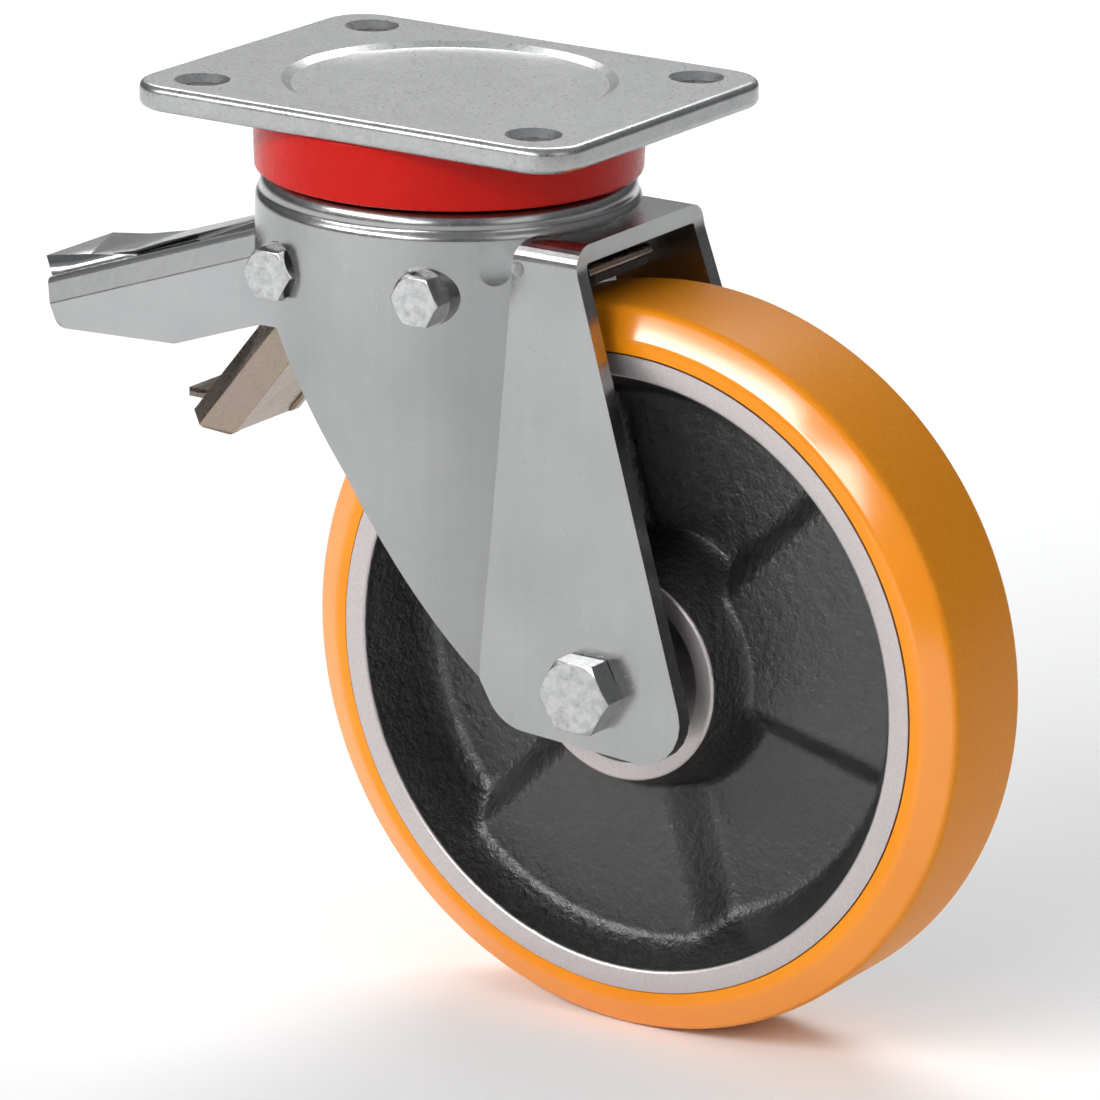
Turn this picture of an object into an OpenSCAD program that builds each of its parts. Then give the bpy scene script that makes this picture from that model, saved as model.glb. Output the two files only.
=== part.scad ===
// Heavy swivel castor: mounting plate, double ball race, pressed fork, bolted axle,
// cast-iron wheel with a polyurethane tyre, and a rear pedal with its release lever.
// The origin is the centre of the plate's top face, +X points to the wheel, +Z is up.
// All sizes are in millimetres and degrees.

/* [Top plate] */
// Length of the plate along X
plate_length = 138; // [130:1:160]
// Width of the plate along Y
plate_width = 109; // [104:1:130]
// Thickness of the plate
plate_thickness = 7; // [5:0.5:10]
// Radius of the plate's four corners
plate_corner = 13; // [6:1:18]
// Rounding of the plate's top and bottom edges
plate_edge = 2; // [0.5:0.25:2.25]
// Spacing of the mounting holes along X
hole_spacing_x = 105; // [95:1:110]
// Spacing of the mounting holes along Y
hole_spacing_y = 80; // [72:1:84]
// Diameter of the mounting holes
hole_d = 11; // [8:0.5:13]
// Chamfer at the mouth of each mounting hole
hole_chamfer = 2; // [0.5:0.25:3]
// Diameter of the round recess pressed into the top
recess_d = 90; // [60:1:96]
// Depth of the recess
recess_depth = 1.3; // [0.5:0.1:2]
// Width of the sloped edge of the recess
recess_slope = 2.5; // [1:0.5:4]

/* [Swivel head] */
// Outside diameter of the fork's round head
head_d = 104; // [100:1:110]
// Height between the plate and the fork head
head_gap = 16.9; // [15:0.1:20]
// Rounding of the head's dome
head_round = 4.2; // [2:0.2:4.4]
// Width of the soft step round the dome's foot
ledge = 1.2; // [0.8:0.1:1.6]
// Drop of that step's lower edge below the head's top
ledge_drop = 7; // [6.8:0.1:7.4]
// Height of the head's rear skirt below its top
skirt_height = 13; // [11:0.5:16]
// Clear bore of the head round the king pin
head_bore_d = 26; // [22:1:34]
// Pitch diameter of the upper balls
upper_pitch_d = 72; // [66:1:76]
// Diameter of the upper balls
upper_ball_d = 9.5; // [8:0.5:10]
// Number of upper balls
upper_ball_count = 20; // [12:1:22]
// Width of the upper race rings
upper_race_width = 18; // [14:1:20]
// Gap between the two upper race rings
upper_race_gap = 2.4; // [1.5:0.1:4]
// Pitch diameter of the lower balls
lower_pitch_d = 36; // [34:1:40]
// Diameter of the lower balls
lower_ball_d = 6; // [4:0.5:6]
// Number of lower balls
lower_ball_count = 16; // [8:1:17]
// Width of the lower race rings
lower_race_width = 9; // [7:0.5:10]
// Thickness of each lower race ring
lower_race_height = 3; // [2.75:0.25:3.5]
// Gap between the two lower race rings
lower_race_gap = 1.6; // [1:0.1:2]
// Diameter of the king pin
king_pin_d = 18; // [14:1:20]
// Diameter of the king pin's threaded end
king_thread_d = 16; // [10:1:18]
// Diameter of the king pin's welded foot
king_foot_d = 30; // [24:1:40]
// Thickness of the king pin's foot
king_foot_height = 3; // [2:0.5:5]
// Width across flats of the king nut
king_nut_af = 24; // [22:1:27]
// Height of the king nut
king_nut_height = 9.5; // [7:0.5:10]
// Length of thread that shows below the king nut
king_thread_end = 2; // [0.5:0.5:3]
// Wall of the dust seal
seal_wall = 3; // [2:0.25:5]
// Draft of the dust seal's outer face
seal_draft = 0.6; // [0:0.1:1.5]
// Height of the dust seal's top flange
seal_flange = 3.4; // [2:0.2:5]
// How far the dust seal stands out past the head
seal_overhang = 0.2; // [0:0.1:1]

/* [Fork] */
// Thickness of the fork's sheet
sheet = 5; // [4:0.25:5.5]
// Outside width of the fork across its legs, at the shelf
fork_width = 62.7; // [61:0.1:66]
// Lean of the flat legs outwards, in degrees
leg_lean = 3; // [2:0.1:3.6]
// Drop of the bridge shelf below the head's top
shelf_drop = 7.1; // [6.8:0.1:8]
// Front edge of the shelf, measured from the swivel axis
shelf_front = 60.8; // [57:0.1:64]
// Outer bend radius between shelf and legs
bend_radius = 6; // [5.6:0.1:9]
// Distance of the axle behind the swivel axis
trail = 70; // [66:1:72]
// Drop of the tyre's top below the plate's top
tyre_drop = 48.5; // [47:0.1:52]
// Reach of the leg's toe in front of the axle
toe_reach = 33.7; // [28:0.1:38]
// Drop of the leg's toe below the axle
toe_drop = 17.7; // [15:0.1:24]
// Rounding of the leg's toe
toe_radius = 12; // [6:1:14]
// Reach of the leg's heel behind the axle
heel_reach = 26.7; // [22:0.1:32]
// Drop of the leg's heel below the axle
heel_drop = 14.4; // [12:0.1:20]
// Rounding of the leg's heel
heel_radius = 14; // [6:1:18]
// Bulge of the leg's rear edge, from the swivel axis
waist_x = 2; // [-2:0.5:8]
// Drop of that bulge below the plate's top
waist_drop = 96.5; // [90:0.5:102]
// Rounding of the bulge
waist_radius = 70; // [20:5:90]
// Drop of the rear edge below the pivot bolts
rear_notch_drop = 9.7; // [8:0.1:12]
// Width of the rear opening between the wrapped sides
rear_opening = 48; // [46:0.5:54]
// Depth of the dimples beside the leg's bend
dimple = 0.25; // [0.15:0.05:0.5]

/* [Axle] */
// Thread diameter of the axle bolt
axle_d = 12; // [10:0.5:12]
// Width across flats of the axle bolt and nut
axle_af = 19; // [17:0.5:22]
// Height of the axle bolt's head
axle_head = 7.5; // [5:0.5:10]
// Height of the axle nut
axle_nut_height = 10; // [7:0.5:12]
// Length of thread that shows past a nut
thread_end = 3; // [1:0.5:6]
// Outside diameter of the axle tube and bore of the bearings
axle_tube_d = 20; // [18:0.5:22]
// Outside diameter of the spacers beside the bearings
spacer_d = 26; // [24:0.5:28]
// Diameter of the flat pads that seat the axle on the leaning legs
axle_pad_d = 28.5; // [28.2:0.1:32]
// Outside diameter of the bearings
bearing_d = 47; // [46:0.5:48]
// Width of the bearings
bearing_width = 14; // [13:0.5:15]
// Diameter of the bearing balls
bearing_ball_d = 7.9; // [7:0.1:8.2]
// Number of balls in each bearing
bearing_ball_count = 8; // [6:1:9]
// Depth of the bearings below the hub's faces
bearing_recess = 0.6; // [0.2:0.1:2]
// Radial gap between the bearing rings
bearing_ring_gap = 4.9; // [4.5:0.1:5.5]
// Thickness of a bearing shield
shield = 0.8; // [0.4:0.1:1]

/* [Wheel] */
// Diameter of the wheel over its tyre
wheel_d = 200; // [190:1:202]
// Width of the wheel
wheel_width = 43.2; // [41:0.2:48]
// Thickness of the tyre over the rim
tyre_thickness = 12; // [9:0.5:14]
// Width of the tyre's flat tread
tread_width = 32.8; // [26:0.2:36]
// Height of the tyre's slanted shoulder
shoulder_height = 8; // [5:0.2:9]
// Rounding of the tyre's shoulder
shoulder_radius = 3; // [1:0.5:4]
// Set-in of the tyre's side below the rim face
tyre_inset = 0.3; // [0.1:0.1:0.6]
// Width of the machined ring on the rim's face
rim_face = 6; // [4:0.5:7]
// Draft of the rim's inner wall
rim_draft = 5; // [2:0.5:6]
// Depth of the web's raised sectors either side of the wheel's centre
web_depth = 10; // [7:0.5:12]
// Thickness that the web's sectors share at the centre
web_overlap = 1.5; // [1:0.25:3]
// Number of web sectors, raised and sunk in turn
web_sectors = 6; // [4:2:8]
// Turn of the web's first step from the X axis
web_turn = 46; // [0:1:60]
// Width of the sloped step between two sectors
web_step = 13; // [9:0.5:16]
// Diameter of the hub's machined faces
hub_d = 58; // [54:1:62]
// Draft of the hub's sides
hub_draft = 4; // [1:0.5:6]
// Rounding where the web meets rim and hub
web_fillet = 6; // [2:0.5:7]

/* [Brake] */
// Distance of each pivot bolt from the swivel axis
pivot_reach = 23.5; // [22:0.25:25]
// Drop of the pivot bolts below the plate's top
pivot_drop = 46.8; // [46:0.2:48]
// Thread diameter of the pivot bolts
pivot_d = 8; // [6:0.5:8.5]
// Width across flats of the pivot bolts and nuts
pivot_af = 13; // [11:0.5:14]
// Height of the pivot bolts' heads
pivot_head = 5.4; // [4:0.2:7]
// Height of the pivot nuts
pivot_nut_height = 8; // [6:0.5:10]
// Outside diameter of the pivot sleeves
sleeve_d = 14; // [13:0.5:14.5]
// Distance of the pivots' flat pads from the centre plane
pad_plane = 46.5; // [45.5:0.25:47]
// Diameter of the pivots' flat pads
pad_d = 15.8; // [15.2:0.1:18]
// Sheet thickness of the pedal and the lever
lever_sheet = 2.5; // [2:0.25:3]
// Slope of the pedal below level
pedal_slope = 19.3; // [16:0.1:22]
// Length of the pedal behind its pivot
pedal_length = 100; // [90:1:110]
// Width of the pedal
pedal_width = 41; // [40:0.5:44]
// Height of the pedal's top above its pivot
pedal_top = 10.4; // [10:0.1:11]
// Depth of the pedal's slanted shoulders
pedal_shoulder = 7; // [4:0.5:9]
// How far the shoulders lean in
shoulder_lean = 2.8; // [1:0.2:4]
// Depth of the pedal's sides below its pivot
pedal_side = 15; // [13:0.5:17]
// Place of the pedal sides' lowest corner behind the pivot
pedal_belly = 61; // [50:1:70]
// Depth of the pedal's sides below its pivot at the free end
pedal_tip = 3.5; // [1:0.5:6]
// Width of the rib along the pedal's top
rib_width = 20; // [16:1:24]
// Height of the rib
rib_rise = 2; // [1.2:0.1:3]
// Length of the pedal's raised tread at the free end
tongue_length = 28; // [20:1:32]
// Rise of the tread's end above the pedal's top
tongue_rise = 6; // [4:0.5:8]
// Width of the tread's end
tongue_width = 31; // [26:1:33]
// Length of the slots beside the rib
slot_length = 21; // [12:1:26]
// Diameter of the pedal's eye round its pivot
pedal_eye_d = 20; // [18:0.5:20.5]
// Place of the link pin in front of the swivel axis
link_x = -6.3; // [-7.5:0.1:-5]
// Drop of the link pin below the plate's top
link_drop = 62; // [61.5:0.1:63]
// Diameter of the link pin
link_d = 8; // [6:0.5:8.5]
// Wall round the link pin in the pedal's nose
link_wall = 3.2; // [2.5:0.2:4]
// Travel of the pedal between released and locked
pedal_travel = 12; // [8:0.5:12.5]
// Width of the release lever
lever_width = 31; // [28:0.5:32]
// Slope of the lever's tail below level
tail_slope = 51.4; // [48:0.2:54]
// Length of the lever's tail
tail_length = 45.8; // [38:0.2:48]
// Depth of the lever's tail
tail_depth = 14.4; // [10:0.2:15]
// Depth of the tail's slanted shoulders
tail_shoulder = 4.8; // [3:0.2:6]
// Where the tail joins the lever's arm, behind the swivel axis
tail_x = 46.5; // [44:0.5:49]
// Drop of the tail's root below the plate's top
tail_drop = 65.6; // [64:0.2:68]
// Length of the foot tongue at the tail's end
foot_length = 8.6; // [5:0.2:10]
// Height of the foot tongue above the tail's end, along the tail
foot_rise = 5.8; // [4:0.2:8]
// Width of the foot tongue
foot_width = 16; // [12:1:20]
// Diameter of the lever's eye round its pivot
lever_eye_d = 18; // [17.5:0.25:18.5]
// Front end of the lever and its brake pad, from the swivel axis
pad_front = 55; // [50:1:57]
// Length of the brake pad
pad_length = 19; // [14:1:20]
// Drop of the lever's front arm below the plate's top
arm_drop = 40.5; // [39:0.1:41.5]
// Gap left between the brake pad and the tyre when locked
pad_gap = 0.5; // [0.4:0.1:1.5]

/* [Fits] */
// Radial play of the balls in their grooves
ball_play = 0.05; // [0.03:0.01:0.1]
// Radial play of bolts in their holes and of turning eyes
bolt_play = 0.1; // [0.05:0.05:0.3]
// Gap between pieces that turn past each other
run_gap = 0.4; // [0.3:0.1:0.8]
// Play of the link pin in the lever's slots
link_play = 0.5; // [0.4:0.1:0.8]

/* [Hidden] */
$fn = 96;
arc_steps = 7;

// Heights of the swivel head
plate_under = -plate_thickness;
head_top = plate_under - head_gap;
head_under = head_top - sheet;
head_r = head_d / 2;
shelf_top = head_top - shelf_drop;
shelf_under = shelf_top - sheet;
skirt_end = head_top - skirt_height;
upper_race_height = (head_gap - upper_race_gap) / 2;
upper_ball_z = plate_under - head_gap / 2;
upper_race_outer = (upper_pitch_d + upper_race_width) / 2;
upper_race_inner = (upper_pitch_d - upper_race_width) / 2;
lower_ball_z = head_under - lower_race_height - lower_race_gap / 2;
lower_race_top = lower_ball_z - lower_race_gap / 2;
king_nut_top = lower_race_top - lower_race_height;
king_nut_end = king_nut_top - king_nut_height;
lower_race_outer = (lower_pitch_d + lower_race_width) / 2;
lower_race_inner = (lower_pitch_d - lower_race_width) / 2;

// Fork planes
leg_plane = fork_width / 2;
axle_drop = tyre_drop + wheel_d / 2;
axle_z = -axle_drop;
axle_plane = leg_plane + (shelf_top - axle_z) * tan(leg_lean);
axle_inner = axle_plane - sheet;
leg_start = sqrt(head_r * head_r - axle_plane * axle_plane);
dome_r = head_r - ledge;
ledge_z = head_top - ledge_drop;
mouth_r = dome_r - sheet;
toe_x = trail + toe_reach;
toe_z = axle_z - toe_drop;

// Wheel
wheel_r = wheel_d / 2;
wheel_half = wheel_width / 2;
rim_r = wheel_r - tyre_thickness;
rim_inner = rim_r - rim_face;
hub_r = hub_d / 2;
bearing_r = bearing_d / 2;
bearing_y = wheel_half - bearing_recess - bearing_width / 2;
bearing_bore = axle_tube_d / 2;
bearing_pitch = (bearing_r + bearing_bore) / 2;
inner_ring_r = bearing_pitch - bearing_ring_gap / 2;
outer_ring_r = bearing_pitch + bearing_ring_gap / 2;
hub_shoulder = outer_ring_r + 0.5;
sector_angle = 360 / web_sectors;

// Brake
pivot_z = -pivot_drop;
link_z = -link_drop;
pedal_half = pedal_width / 2;
lever_half = lever_width / 2;
pad_inner = pad_plane - sheet;
link_ratio = (link_x + pivot_reach) / (pivot_reach - link_x);
lever_travel = pedal_travel * link_ratio;
tail_root = [-tail_x, -tail_drop];
arm_top = -arm_drop;

// Link pin from the rear pivot, then in the pedal's own frame, and at the locked end of the lever's slot
link_from_pivot = [link_x + pivot_reach, link_z - pivot_z];
link_in_pedal = turned(link_from_pivot, pedal_slope);
link_locked = turned(link_from_pivot, -pedal_travel) - [2 * pivot_reach, 0];
slot_end = turned(link_locked, -lever_travel) + [pivot_reach, pivot_z];

// Line of the lever's top from its tail's end to the front of the link slots
lever_top = [
    tail_point(-tail_length, 0), tail_root, [-pivot_reach - 1, link_z + 0.3],
    [link_x - 6, link_z + link_d - 1], [link_x + 15, link_z + link_d + 1]
];

// Corner b of a path a, b, c as an arc of radius r
function corner_arc(a, b, c, r) =
    let (
        u = (a - b) / norm(a - b),
        w = (c - b) / norm(c - b),
        half = acos(u * w) / 2,
        centre = b + (u + w) / norm(u + w) * r / sin(half),
        first = b + u * r / tan(half) - centre,
        last = b + w * r / tan(half) - centre,
        start = atan2(first.y, first.x),
        sweep = (atan2(last.y, last.x) - start + 540) % 360 - 180
    )
    [for (i = [0:arc_steps])
        let (at = start + sweep * i / arc_steps)
        centre + r * [cos(at), sin(at)]];

// Closed outline from [x, y, radius] corners
function rounded(corners) =
    let (n = len(corners), flat = [for (p = corners) [p.x, p.y]])
    [for (i = [0:n - 1])
        each corners[i].z > 0
            ? corner_arc(flat[(i + n - 1) % n], flat[i], flat[(i + 1) % n], corners[i].z)
            : [flat[i]]];

// Points turned by an angle in the XZ plane about the origin, X towards -Z
function turned(p, angle) = [p.x * cos(angle) + p.y * sin(angle), -p.x * sin(angle) + p.y * cos(angle)];

// Point given in the frame of the lever's tail
function tail_point(x, z) = tail_root + turned([x, z], -tail_slope);

// Point i of a path that runs left to right, moved to the path's lower side by a depth
function lowered(path, i, depth) =
    let (
        last = len(path) - 1,
        u = i > 0 ? path[i] - path[i - 1] : path[1] - path[0],
        w = i < last ? path[i + 1] - path[i] : path[last] - path[last - 1],
        n = [u.y, -u.x] / norm(u),
        m = [w.y, -w.x] / norm(w)
    )
    path[i] + depth * (n + m) / (1 + n * m);

// Children with their Z axis laid along -Y
module along_y() {
    rotate([90, 0, 0]) children();
}

// Outline in X and Z, extruded along Y between two planes
module side_cut(low_y, high_y) {
    translate([0, high_y, 0]) rotate([90, 0, 0]) linear_extrude(height = high_y - low_y) children();
}

// Both sides of the centre plane
module both_sides() {
    children();
    mirror([0, 1, 0]) children();
}

// Flat ring standing on z = 0
module ring(inner_r, outer_r, height) {
    difference() {
        cylinder(r = outer_r, h = height);
        translate([0, 0, -1]) cylinder(r = inner_r, h = height + 2);
    }
}

// Hexagon with the chamfered corners of a bolt head, standing on z = 0
module hexagon(af, height, both_ends = false) {
    corner_r = af / sqrt(3);
    edge = (corner_r - af / 2) * tan(30);
    foot = both_ends ? edge : 0;
    intersection() {
        cylinder(r = corner_r, h = height, $fn = 6);
        rotate_extrude()
            polygon([
                [0, 0], [both_ends ? af / 2 : corner_r + 1, 0],
                [corner_r + 1, foot + (both_ends ? edge / 3 : 0)],
                [corner_r + 1, height - edge * 4 / 3], [af / 2, height], [0, height]
            ]);
    }
}

// Hex bolt with its head standing on z = 0 and its shank below
module hex_bolt(d, af, head_height, length) {
    hexagon(af, head_height);
    translate([0, 0, -length]) {
        translate([0, 0, 1]) cylinder(d = d, h = length);
        cylinder(d1 = d - 2, d2 = d, h = 1);
    }
}

// Hex nut standing on z = 0
module hex_nut(d, af, height) {
    difference() {
        hexagon(af, height, true);
        translate([0, 0, -1]) cylinder(d = d, h = height + 2);
    }
}

// Ring of balls round the Z axis
module ball_circle(pitch_r, ball_d, count) {
    for (i = [0:count - 1])
        rotate([0, 0, i * 360 / count]) translate([pitch_r, 0, 0]) sphere(d = ball_d, $fn = 48);
}

// Race ring on z = 0 with a ball groove centred at groove_z
module race(inner_r, outer_r, height, pitch_r, ball_d, groove_z) {
    rotate_extrude()
        difference() {
            translate([inner_r, 0]) square([outer_r - inner_r, height]);
            translate([pitch_r, groove_z]) circle(r = ball_d / 2 + ball_play, $fn = 48);
        }
}

// Two bearings' places on the axle, the second turned over
module at_bearings() {
    for (side = [-1, 1])
        translate([trail, side * bearing_y, axle_z]) rotate([90 * side, 0, 0]) children();
}

// Places of the two pivot axes, Z along -Y
module at_pivots() {
    for (x = [-pivot_reach, pivot_reach])
        translate([x, 0, pivot_z]) along_y() children();
}

// Mounting plate with rounded edges, four chamfered holes and a round recess
module top_plate() {
    corner_x = plate_length / 2 - plate_corner;
    corner_y = plate_width / 2 - plate_corner;
    color("#b9bcc0")
        difference() {
            translate([0, 0, plate_under])
                hull()
                    for (x = [-corner_x, corner_x], y = [-corner_y, corner_y])
                        translate([x, y, 0]) plate_corner_post();
            for (
                x = [-hole_spacing_x / 2, hole_spacing_x / 2],
                y = [-hole_spacing_y / 2, hole_spacing_y / 2]
            )
                translate([x, y, 0]) {
                    translate([0, 0, plate_under - 1]) cylinder(d = hole_d, h = plate_thickness + 2);
                    translate([0, 0, -hole_chamfer])
                        cylinder(d1 = hole_d, d2 = hole_d + 2 * (hole_chamfer + 1), h = hole_chamfer + 1);
                }
            translate([0, 0, -recess_depth])
                cylinder(
                    d1 = recess_d - 2 * recess_slope, d2 = recess_d + 2 * recess_slope, h = 2 * recess_depth
                );
        }
}

// One rounded corner of the plate
module plate_corner_post() {
    rotate_extrude($fn = 48)
        polygon(rounded([
            [0, 0, 0], [plate_corner, 0, plate_edge], [plate_corner, plate_thickness, plate_edge],
            [0, plate_thickness, 0]
        ]));
}

// King pin with its foot under the plate and its threaded end
module king_pin() {
    color("#8f9296") {
        translate([0, 0, plate_under - king_foot_height]) cylinder(d = king_foot_d, h = king_foot_height);
        translate([0, 0, king_nut_top]) cylinder(d = king_pin_d, h = plate_under - king_nut_top - 1);
        translate([0, 0, king_nut_end - king_thread_end])
            cylinder(d = king_thread_d, h = king_nut_height + king_thread_end + 1);
    }
}

// Nut that holds the lower race
module king_nut() {
    color("#a9acb0")
        translate([0, 0, king_nut_end]) hex_nut(king_thread_d, king_nut_af, king_nut_height);
}

// Hardened ring under the plate
module upper_race() {
    color("#80848a")
        translate([0, 0, plate_under - upper_race_height])
            race(upper_race_inner, upper_race_outer, upper_race_height, upper_pitch_d / 2, upper_ball_d,
                -upper_race_gap / 2);
}

// Hardened ring on the fork's head
module head_race() {
    color("#80848a")
        translate([0, 0, head_top])
            race(upper_race_inner, upper_race_outer, upper_race_height, upper_pitch_d / 2, upper_ball_d,
                upper_race_height + upper_race_gap / 2);
}

// Balls of the upper race
module upper_balls() {
    color("#d6d8da")
        translate([0, 0, upper_ball_z]) ball_circle(upper_pitch_d / 2, upper_ball_d, upper_ball_count);
}

// Hardened ring under the fork's head
module lower_head_race() {
    color("#80848a")
        translate([0, 0, head_under - lower_race_height])
            race(lower_race_inner, lower_race_outer, lower_race_height, lower_pitch_d / 2, lower_ball_d,
                -lower_race_gap / 2);
}

// Hardened ring on the king pin
module lower_race() {
    color("#80848a")
        translate([0, 0, king_nut_top])
            race(king_pin_d / 2, lower_race_outer, lower_race_height, lower_pitch_d / 2, lower_ball_d,
                lower_race_height + lower_race_gap / 2);
}

// Balls of the lower race
module lower_balls() {
    color("#d6d8da")
        translate([0, 0, lower_ball_z]) ball_circle(lower_pitch_d / 2, lower_ball_d, lower_ball_count);
}

// Dust seal: a skirt hanging from a flange round the upper race
module dust_seal() {
    seal_r = head_r + seal_overhang;
    seal_end = head_top + run_gap;
    color("#d8281c")
        rotate_extrude()
            polygon(rounded([
                [upper_race_outer, plate_under, 0], [seal_r + seal_draft, plate_under, 0.8],
                [seal_r, seal_end, 0.8], [seal_r - seal_wall, seal_end, 0.5],
                [seal_r - seal_wall, plate_under - seal_flange, 0.5],
                [upper_race_outer, plate_under - seal_flange, 0]
            ]));
}

// Half section of the fork's round head, still solid inside
module head_section() {
    bore = head_bore_d / 2;
    polygon(rounded([
        [bore, skirt_end, 0], [bore, head_top, 0], [dome_r, head_top, head_round],
        [dome_r, ledge_z + 1.7, 2], [head_r, ledge_z, 3], [head_r, skirt_end, 0]
    ]));
}

// Side view outline of the fork's legs
module leg_outline() {
    polygon(rounded([
        [shelf_front, shelf_top + 1, 0], [shelf_front, shelf_top - bend_radius, 12],
        [toe_x, toe_z, toe_radius], [trail - heel_reach, axle_z - heel_drop, heel_radius],
        [waist_x, -waist_drop, waist_radius],
        [-pivot_reach - 5, pivot_z - rear_notch_drop, 9],
        [-head_r - 2, pivot_z + 1, 0], [-head_r - 2, shelf_top + 1, 0]
    ]));
}

// Distance of the legs' outer faces from the centre plane at a height
function leg_at(z) = leg_plane + (shelf_top - z) * tan(leg_lean);

// Flat leg that leans outwards, bent at its top into half of the shelf
module bent_leg() {
    low = toe_z - 1;
    reach = leg_plane + sheet;
    translate([leg_start, -leg_plane, 0])
        rotate([90, 0, 90])
            linear_extrude(height = toe_x + 1 - leg_start)
                polygon(rounded([
                    [reach, shelf_top, 0], [0, shelf_top, bend_radius],
                    [leg_plane - leg_at(low), low, 0], [leg_plane - leg_at(low) + sheet, low, 0],
                    [leg_plane - leg_at(shelf_under) + sheet, shelf_under, bend_radius - sheet],
                    [reach, shelf_under, 0]
                ]));
}

// Sides of the fork wrapped round its head, up to the middle of each leg's sheet
module wrapped_sides() {
    top = skirt_end + 2;
    low = toe_z - 1;
    high_half = leg_at(top) - sheet / 2;
    low_half = leg_at(low) - sheet / 2;
    difference() {
        translate([0, 0, toe_z]) ring(head_r - sheet, head_r, top - toe_z);
        translate([leg_start / 2, 0, 0]) rotate([90, 0, 90])
            linear_extrude(height = head_r)
                polygon([[-low_half, low], [low_half, low], [high_half, top + 1], [-high_half, top + 1]]);
    }
}

// Dimples beside the bend between the head's wall and the leg
module dimples() {
    r = 8;
    on_wall = [0.745 * head_r, -0.667 * head_r, shelf_top - 3.7];
    on_leg = [leg_start + 6.8, -leg_at(shelf_top - 7.8), shelf_top - 7.8];
    translate(on_wall) rotate([0, 0, -41.8]) translate([r - dimple, 0, 0]) sphere(r = r, $fn = 48);
    translate(on_leg) rotate([0, 0, -90]) translate([r - dimple, 0, 0]) sphere(r = r, $fn = 48);
}

// Place of the axle, Z along -Y
module at_axle() {
    translate([trail, 0, axle_z]) along_y() children();
}

// Flat pads on both sides of the fork, their outer faces at one distance
module seat_pads(d, outer) {
    for (side = [0, 1]) mirror([0, 0, side]) translate([0, 0, outer - sheet]) cylinder(d = d, h = sheet);
}

// Room cut free on both faces of those pads
module seat_room(d, outer) {
    for (side = [0, 1]) mirror([0, 0, side]) {
        translate([0, 0, outer]) cylinder(d = d, h = head_r);
        translate([0, 0, outer - sheet - head_r / 4]) cylinder(d = d, h = head_r / 4);
    }
}

// Pressed fork: domed head, bridge shelf, sides wrapped round the head, flat leaning legs
module fork() {
    color("#a7aaae")
        difference() {
            union() {
                rotate_extrude() head_section();
                intersection() {
                    side_cut(-head_r - 1, head_r + 1) leg_outline();
                    union() {
                        both_sides() bent_leg();
                        wrapped_sides();
                    }
                }
                at_pivots() seat_pads(pad_d, pad_plane);
                at_axle() seat_pads(axle_pad_d, axle_plane);
            }
            translate([0, 0, shelf_under - 1]) cylinder(r = mouth_r, h = head_under - shelf_under + 1);
            translate([-head_r - 1, -rear_opening / 2, toe_z])
                cube([head_r, rear_opening, skirt_end - toe_z]);
            at_pivots() {
                seat_room(pad_d, pad_plane);
                translate([0, 0, -head_r]) cylinder(d = pivot_d + 2 * bolt_play, h = head_d);
            }
            at_axle() {
                seat_room(axle_pad_d, axle_plane);
                translate([0, 0, -head_r]) cylinder(d = axle_d + 2 * bolt_play, h = head_d);
            }
            both_sides() dimples();
        }
}

// Axle bolt with its head on the near leg
module axle_bolt() {
    color("#c9ccd0")
        translate([trail, -axle_plane, axle_z]) along_y()
            hex_bolt(axle_d, axle_af, axle_head, 2 * axle_plane + axle_nut_height + thread_end);
}

// Nut on the far leg
module axle_nut() {
    color("#c9ccd0")
        translate([trail, axle_plane + axle_nut_height, axle_z]) along_y()
            hex_nut(axle_d, axle_af, axle_nut_height);
}

// Tube between the legs that carries the bearings
module axle_tube() {
    color("#7d8085")
        translate([trail, axle_inner, axle_z]) along_y()
            ring(axle_d / 2 + bolt_play, axle_tube_d / 2, 2 * axle_inner);
}

// Spacers between the bearings and the legs
module axle_spacers() {
    length = axle_inner - bearing_y - bearing_width / 2;
    color("#55585c")
        for (y = [axle_inner, -axle_inner + length])
            translate([trail, y, axle_z]) along_y() ring(axle_tube_d / 2, spacer_d / 2, length);
}

// Tube that keeps the inner rings apart
module distance_tube() {
    length = 2 * bearing_y - bearing_width;
    color("#7d8085")
        translate([trail, length / 2, axle_z]) along_y() ring(axle_tube_d / 2, spacer_d / 2, length);
}

// Half section of one bearing ring between two radii
module bearing_ring(inner_r, outer_r) {
    rotate_extrude()
        difference() {
            translate([inner_r, -bearing_width / 2]) square([outer_r - inner_r, bearing_width]);
            translate([bearing_pitch, 0]) circle(r = bearing_ball_d / 2 + ball_play, $fn = 48);
        }
}

// Inner rings on the axle tube
module bearing_inner_rings() {
    color("#9a9da1") at_bearings() bearing_ring(bearing_bore, inner_ring_r);
}

// Outer rings in the hub
module bearing_outer_rings() {
    color("#9a9da1") at_bearings() bearing_ring(outer_ring_r, bearing_r);
}

// Balls of both bearings
module bearing_balls() {
    color("#d6d8da") at_bearings() ball_circle(bearing_pitch, bearing_ball_d, bearing_ball_count);
}

// Shields clipped into both faces of the outer rings
module bearing_shields() {
    color("#4a4d50")
        at_bearings()
            for (z = [-bearing_width / 2 + 0.4, bearing_width / 2 - 0.4 - shield])
                translate([0, 0, z]) ring(inner_ring_r + run_gap, outer_ring_r, shield);
}

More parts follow.
